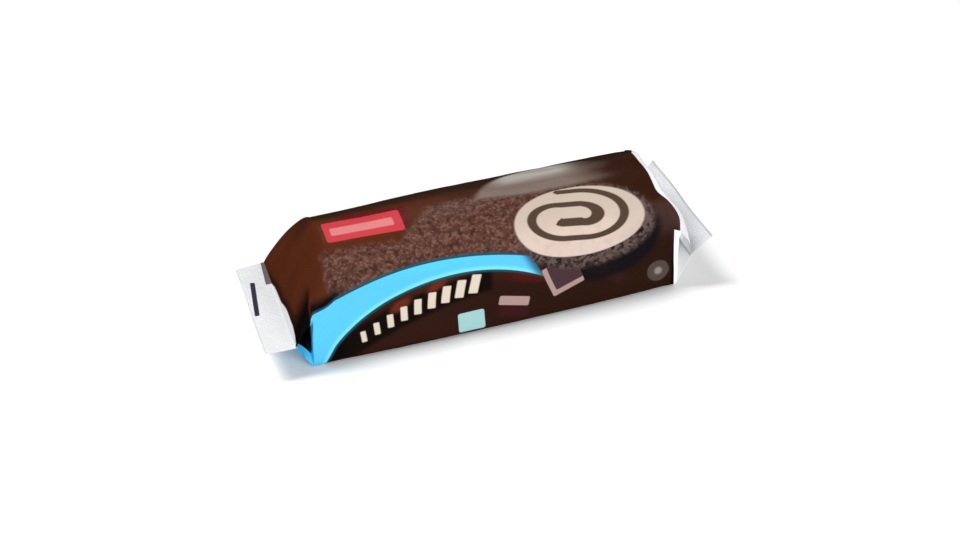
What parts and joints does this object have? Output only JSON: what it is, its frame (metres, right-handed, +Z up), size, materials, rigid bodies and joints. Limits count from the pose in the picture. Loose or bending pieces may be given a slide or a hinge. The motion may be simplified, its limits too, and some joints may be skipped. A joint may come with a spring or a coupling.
{
  "type": "flow-wrapped cake pack",
  "caption": "Closed glossy film pack around a swiss roll cake: a long rounded loaf shape with folded-in ends and a crimped fin seal across each end.",
  "frame": {"origin": "centre of the pack's footprint, on the plane it rests on", "axes": "+X along the roll, towards the end whose fin is tipped up; +Z up, away from the flat base"},
  "size_m": [0.2526, 0.076, 0.0611],
  "materials": {
    "film": "glossy printed film"
  },
  "bodies": {
    "root": {"pack": "film"}
  },
  "joints": []
}
